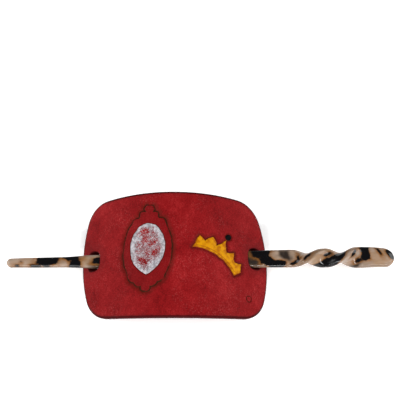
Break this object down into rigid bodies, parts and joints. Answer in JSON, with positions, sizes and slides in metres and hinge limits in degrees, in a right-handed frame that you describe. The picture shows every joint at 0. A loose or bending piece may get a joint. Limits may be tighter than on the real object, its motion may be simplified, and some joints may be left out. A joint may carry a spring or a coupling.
{
  "type": "leather stick barrette",
  "caption": "Arched leather hair slide held by a twisted tortoise acetate stick that passes through a hole in each end",
  "frame": {"origin": "on the table, under the middle of the arched leather slide", "axes": "+Z out of the leather's face, +X along the stick from its plain tip to its twisted handle, +Y across the stick"},
  "size_m": [0.1929, 0.0638, 0.0212],
  "materials": {
    "red_leather": "dyed and burnished vegetable-tanned leather, satin, darker at its edges, with carved and painted pictures",
    "tortoise_acetate": "polished cellulose acetate, pale beige with black patches that have amber borders"
  },
  "bodies": {
    "slide": {"leather_plate": "red_leather"},
    "stick": {"acetate_stick": "tortoise_acetate"}
  },
  "joints": [
    {"name": "stick_slide", "type": "slide", "parent": "slide", "child": "stick", "axis": [1, 0, 0], "range_m": [-0.01, 0.132]}
  ]
}
